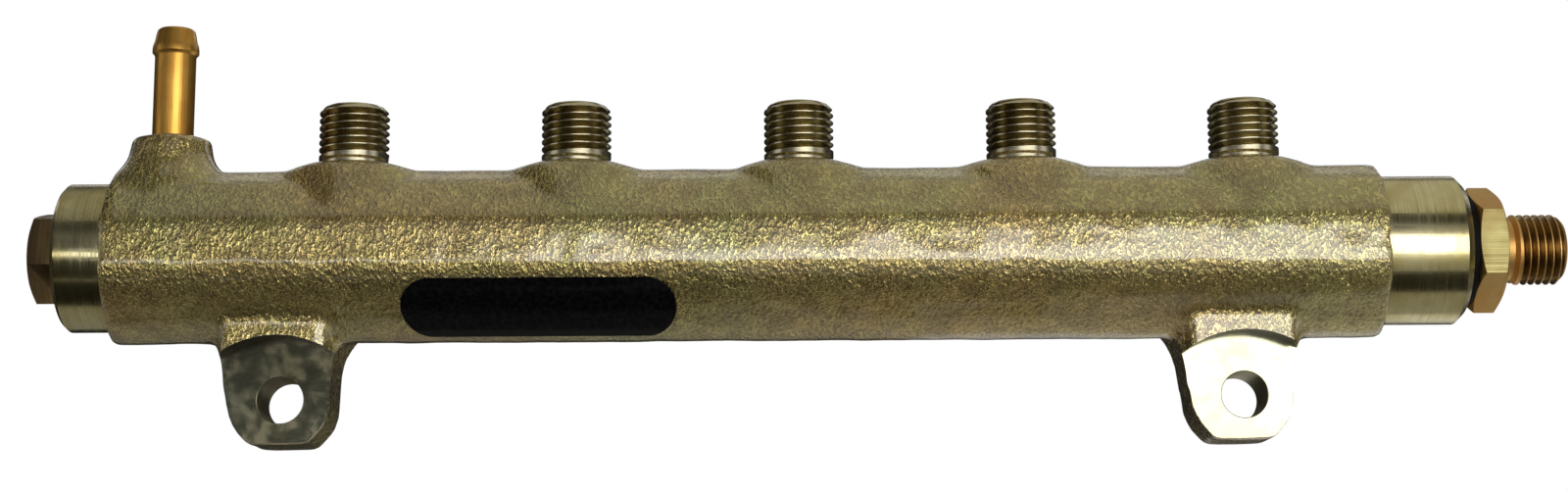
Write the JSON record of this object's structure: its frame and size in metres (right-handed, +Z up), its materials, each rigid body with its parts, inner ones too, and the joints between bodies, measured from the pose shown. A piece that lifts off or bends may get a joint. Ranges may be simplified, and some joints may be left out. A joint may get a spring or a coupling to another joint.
{
  "type": "fuel rail",
  "caption": "Forged diesel common rail: thick-walled tube with threaded pipe ports on top, mounting lugs below, return barb, relief valve and supply fitting at its ends.",
  "frame": {"origin": "midway between the two mounting bolt holes, on the lugs' seating plane", "axes": "+X along the rail towards the supply fitting, +Y into the engine face that the lugs seat on, +Z up along the ports"},
  "size_m": [0.304, 0.0308, 0.0849],
  "materials": {
    "forging": "forged and zinc plated with an olive-yellow chromate, machined faces brighter",
    "brass": "turned brass",
    "valve_steel": "dark olive-brown plated steel",
    "hard_steel": "ground steel",
    "seal_rubber": "black",
    "fitting_steel": "yellow zinc plated, turned",
    "badge_black": "bare gloss black"
  },
  "bodies": {
    "rail": {"rail_body": "forging", "hose_barb": "brass", "relief_valve_body": "valve_steel", "relief_valve_seat": "hard_steel", "relief_valve_spring": "hard_steel", "relief_valve_shim": "hard_steel", "relief_valve_o_ring": "seal_rubber", "fitting_seal_washer": "seal_rubber", "end_fitting": "fitting_steel", "badge": "badge_black"},
    "plunger": {"relief_valve_plunger": "hard_steel"}
  },
  "joints": [
    {"name": "relief_valve_lift", "type": "slide", "parent": "rail", "child": "plunger", "axis": [-1, 0, 0], "range_m": [0, 0.0008], "stiffness_N_per_m": 1000, "deforming": ["relief_valve_spring"]}
  ]
}
